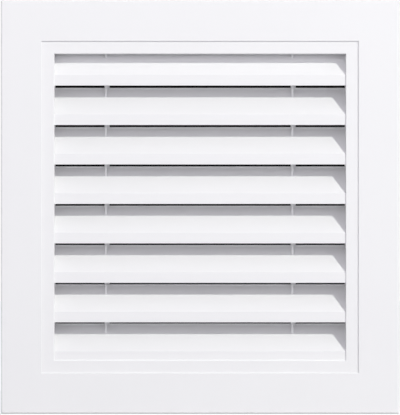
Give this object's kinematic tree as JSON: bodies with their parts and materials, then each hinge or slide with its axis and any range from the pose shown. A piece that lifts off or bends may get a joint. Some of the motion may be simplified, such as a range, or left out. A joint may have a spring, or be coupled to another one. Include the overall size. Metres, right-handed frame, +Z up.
{
  "type": "louvred wall vent grille",
  "caption": "Square white louvred wall vent with a flat trim ring that clips on, a nailing flange, slots between sloping louvres and an insect screen.",
  "frame": {"origin": "middle of the nailing flange's rear face, which lies on the wall", "axes": "front faces -Y, into the room or street; +Y goes into the wall; +X is right as seen from the front; +Z up"},
  "size_m": [0.398, 0.0451, 0.413],
  "materials": {
    "moulded_body": "smooth satin white moulded plastic, coloured through",
    "moulded_ring": "smooth satin white moulded plastic, coloured through",
    "screen_mesh": "charcoal coated fibre mesh"
  },
  "bodies": {
    "root": {"louvre_body": "moulded_body", "trim_ring": "moulded_ring", "insect_screen": "screen_mesh"}
  },
  "joints": []
}
